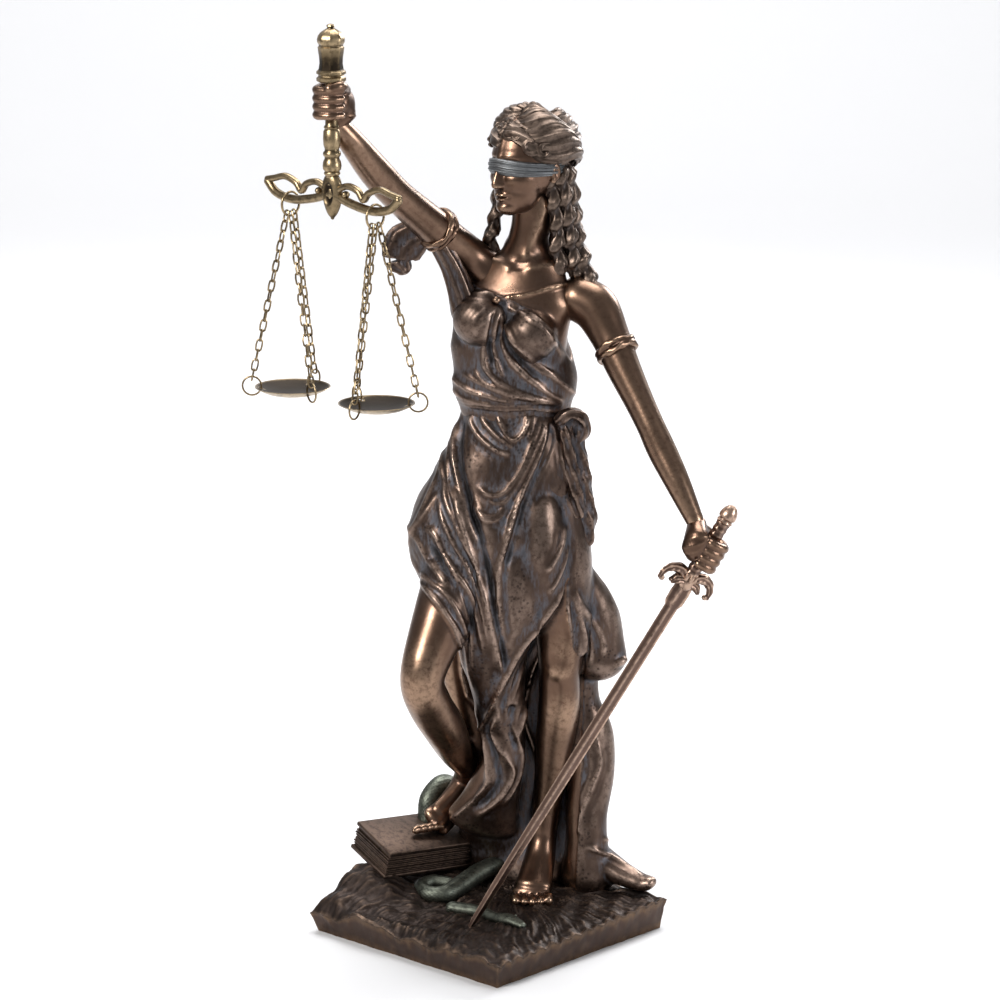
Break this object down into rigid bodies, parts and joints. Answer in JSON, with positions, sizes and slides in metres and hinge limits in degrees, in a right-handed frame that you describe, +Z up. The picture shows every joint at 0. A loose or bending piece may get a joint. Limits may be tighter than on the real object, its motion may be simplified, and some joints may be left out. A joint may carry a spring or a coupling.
{
  "type": "lady justice statue",
  "caption": "Desk statue of a blindfolded robed woman on a square rocky plinth, holding a lowered sword and raised hanging scales.",
  "frame": {"origin": "centre of the plinth's underside, on the table", "axes": "+Z up through the figure, X and Y along the plinth's sides; the figure's front faces between +X and -Y, and the beam of the scales runs along X"},
  "size_m": [0.129, 0.1276, 0.3246],
  "materials": {
    "bronze_casting": "bronze-faced casting, polished skin, dull blue-grey patina in the folds",
    "sword_copper": "satin copper-bronze with a chased bevel",
    "antique_brass": "antiqued satin brass"
  },
  "bodies": {
    "root": {"figure_on_plinth": "bronze_casting", "sword": "sword_copper", "handle_finial": "antique_brass", "scale_beam": "antique_brass", "far_hook_ring": "antique_brass", "far_chain_1": "antique_brass", "far_chain_2": "antique_brass", "far_chain_3": "antique_brass", "far_pan_ring_1": "antique_brass", "far_pan_ring_2": "antique_brass", "far_pan_ring_3": "antique_brass", "far_pan": "antique_brass", "near_hook_ring": "antique_brass", "near_chain_1": "antique_brass", "near_chain_2": "antique_brass", "near_chain_3": "antique_brass", "near_pan_ring_1": "antique_brass", "near_pan_ring_2": "antique_brass", "near_pan_ring_3": "antique_brass", "near_pan": "antique_brass"}
  },
  "joints": []
}
